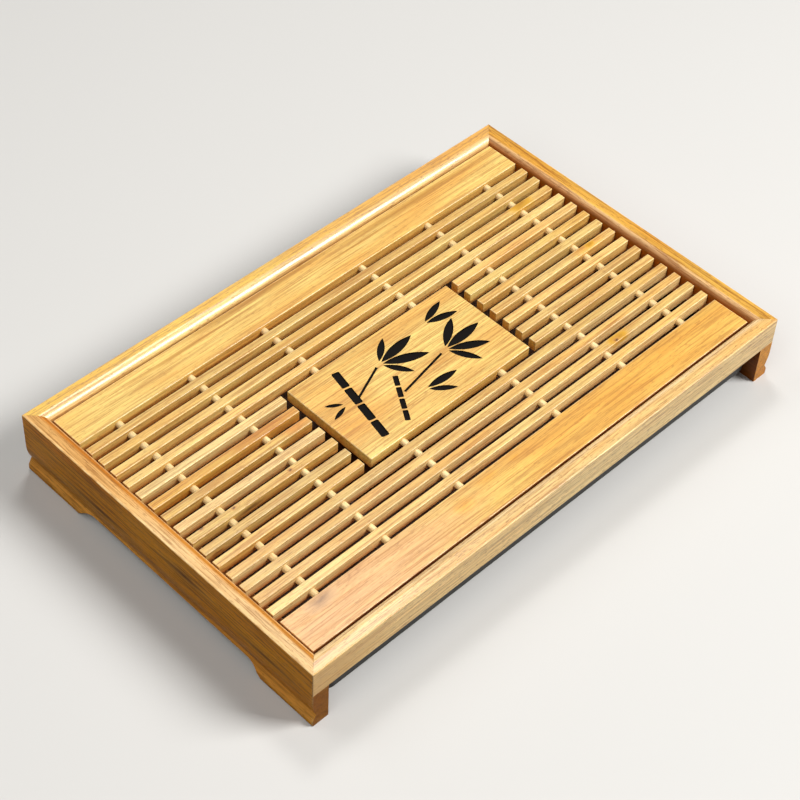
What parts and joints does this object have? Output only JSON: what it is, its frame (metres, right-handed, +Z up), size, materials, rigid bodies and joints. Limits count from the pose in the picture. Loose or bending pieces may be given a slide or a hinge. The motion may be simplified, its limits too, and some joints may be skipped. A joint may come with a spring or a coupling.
{
  "type": "gongfu tea table",
  "caption": "Low wooden tea table: a mitred frame on bracket feet, a slatted lift-out grille with a carved centre plate, and a drip tray that slides out below the front rail.",
  "frame": {"origin": "centre of the footprint on the table top that it stands on, level with the undersides of the feet", "axes": "+X along the long side, +Y from the front (where the drip tray pulls out) to the back, +Z up"},
  "size_m": [0.44, 0.28, 0.054],
  "materials": {
    "frame_wood": "satin clear varnish",
    "strip_wood": "sawn, thin varnish",
    "board_wood": "satin clear varnish",
    "slat_wood": "satin clear varnish",
    "plate_wood": "satin clear varnish, carving painted black",
    "dowel_wood": "turned, thin varnish",
    "drip_plastic": "moulded, soft gloss"
  },
  "bodies": {
    "stand": {"front_rail": "frame_wood", "back_rail": "frame_wood", "left_side_board": "frame_wood", "right_side_board": "frame_wood", "left_ledge": "strip_wood", "right_ledge": "strip_wood", "front_ledge": "strip_wood", "back_ledge": "strip_wood", "left_runner": "strip_wood", "right_runner": "strip_wood"},
    "grille": {"front_board": "board_wood", "back_board": "board_wood", "centre_plate": "plate_wood", "front_slat_1": "slat_wood", "front_slat_2": "slat_wood", "front_slat_3": "slat_wood", "front_slat_4": "slat_wood", "back_slat_1": "slat_wood", "back_slat_2": "slat_wood", "back_slat_3": "slat_wood", "back_slat_4": "slat_wood", "left_slat_1": "slat_wood", "left_slat_2": "slat_wood", "left_slat_3": "slat_wood", "left_slat_4": "slat_wood", "left_slat_5": "slat_wood", "left_slat_6": "slat_wood", "left_slat_7": "slat_wood", "right_slat_1": "slat_wood", "right_slat_2": "slat_wood", "right_slat_3": "slat_wood", "right_slat_4": "slat_wood", "right_slat_5": "slat_wood", "right_slat_6": "slat_wood", "right_slat_7": "slat_wood", "dowel_1": "dowel_wood", "dowel_2": "dowel_wood", "dowel_3": "dowel_wood", "dowel_4": "dowel_wood", "dowel_5": "dowel_wood", "dowel_6": "dowel_wood"},
    "drip_drawer": {"drip_tray": "drip_plastic"}
  },
  "joints": [
    {"name": "grille_lift", "type": "slide", "parent": "stand", "child": "grille", "axis": [0, 0, 1], "range_m": [0, 0.08]},
    {"name": "drip_tray_slide", "type": "slide", "parent": "stand", "child": "drip_drawer", "axis": [0, -1, 0], "range_m": [0, 0.26]}
  ]
}
